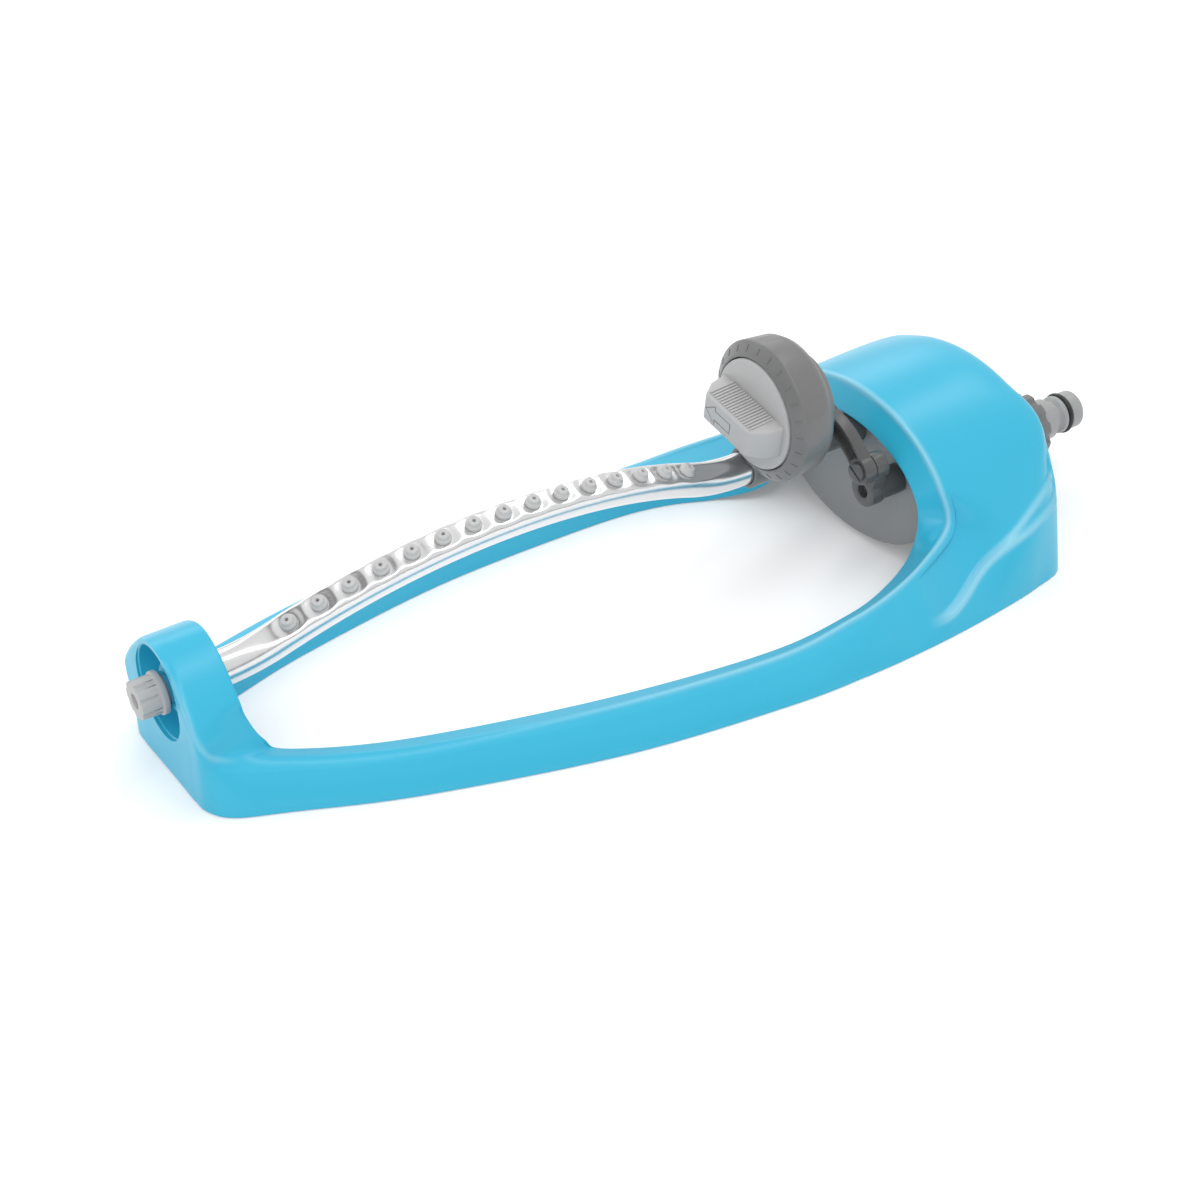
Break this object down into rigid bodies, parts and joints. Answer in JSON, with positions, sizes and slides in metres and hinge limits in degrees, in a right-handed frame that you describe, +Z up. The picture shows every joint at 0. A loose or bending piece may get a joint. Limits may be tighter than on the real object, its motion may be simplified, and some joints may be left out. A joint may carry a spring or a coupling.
{
  "type": "oscillating lawn sprinkler",
  "caption": "Oscillating lawn sprinkler: an arched spray tube with soft nozzles swings in a low loop frame, driven by a geared water motor through a crank, link and range dial.",
  "frame": {"origin": "on the ground, under the middle of the overall length and width", "axes": "+X along the length towards the hose spigot, +Z up; the crank and link are on the -Y side"},
  "size_m": [0.4247, 0.1706, 0.1041],
  "materials": {
    "blue_plastic": "satin moulded",
    "light_plastic": "satin moulded",
    "dark_plastic": "satin moulded",
    "gear_plastic": "smooth moulded",
    "bare_aluminium": "polished",
    "plated_steel": "zinc plated",
    "nozzle_rubber": "soft silicone",
    "seal_rubber": "moulded"
  },
  "bodies": {
    "base": {"base_shell": "blue_plastic", "end_bush": "blue_plastic", "shaft_seal": "seal_rubber", "gear_axle": "plated_steel", "motor_front_plate": "dark_plastic", "inner_plate": "dark_plastic", "motor_case": "dark_plastic", "inlet_filter": "gear_plastic", "inlet_washer": "seal_rubber", "inlet_nipple": "light_plastic", "nipple_o_ring": "seal_rubber"},
    "spray_bar": {"spray_tube": "bare_aluminium", "spray_nozzles": "nozzle_rubber", "tube_connector": "dark_plastic", "outlet_seal": "seal_rubber"},
    "flush_plug": {"end_plug": "light_plastic", "plug_o_ring": "seal_rubber"},
    "range_dial": {"dial_grip": "light_plastic", "dial_eccentric": "dark_plastic", "dial_screw": "plated_steel"},
    "crank": {"output_crank": "dark_plastic", "output_shaft": "plated_steel", "output_gear": "gear_plastic", "link_screw": "dark_plastic"},
    "link": {"link_arm": "dark_plastic"},
    "reduction": {"compound_gear": "gear_plastic"},
    "turbine": {"turbine_wheel": "gear_plastic", "turbine_shaft": "plated_steel"},
    "hose_nut": {"inlet_nut": "dark_plastic"}
  },
  "joints": [
    {"name": "tube_swing", "type": "hinge", "parent": "base", "child": "spray_bar", "pos_m": [0.03725, 0, 0.04687], "axis": [0.9981, 0, 0.0623], "range_deg": [-63.4, 16.6]},
    {"name": "plug_turn", "type": "hinge", "parent": "spray_bar", "child": "flush_plug", "pos_m": [-0.21196, 0, 0.03133], "axis": [0.9981, 0, 0.0623], "continuous": true},
    {"name": "dial_turn", "type": "hinge", "parent": "spray_bar", "child": "range_dial", "pos_m": [0.0304, -0.01291, 0.07633], "axis": [0.9981, 0, 0.0623], "range_deg": [-50, 50]},
    {"name": "crank_turn", "type": "hinge", "parent": "base", "child": "crank", "pos_m": [0.07565, -0.0253, 0.03685], "axis": [0.9981, 0, 0.0623], "range_deg": [-60, 16]},
    {"name": "link_swing", "type": "hinge", "parent": "crank", "child": "link", "pos_m": [0.0693, -0.02926, 0.04865], "axis": [0.9981, 0, 0.0623], "range_deg": [-18, 66]},
    {"name": "reduction_turn", "type": "hinge", "parent": "base", "child": "reduction", "pos_m": [0.10305, -0.01312, 0.03286], "axis": [0.9981, 0, 0.0623], "range_deg": [-48, 178]},
    {"name": "turbine_turn", "type": "hinge", "parent": "base", "child": "turbine", "pos_m": [0.11368, 0.00012, 0.03119], "axis": [0.9981, 0, 0.0623], "range_deg": [-530, 140]},
    {"name": "nut_turn", "type": "hinge", "parent": "base", "child": "hose_nut", "pos_m": [0.16529, 0, 0.0229], "axis": [0.9981, 0, 0.0623], "continuous": true}
  ],
  "couplings": [
    {"joint": "crank_turn", "follows": "tube_swing", "ratio": 0.922},
    {"joint": "link_swing", "follows": "tube_swing", "ratio": -1.01},
    {"joint": "reduction_turn", "follows": "tube_swing", "ratio": -2.766},
    {"joint": "turbine_turn", "follows": "tube_swing", "ratio": 8.298}
  ]
}
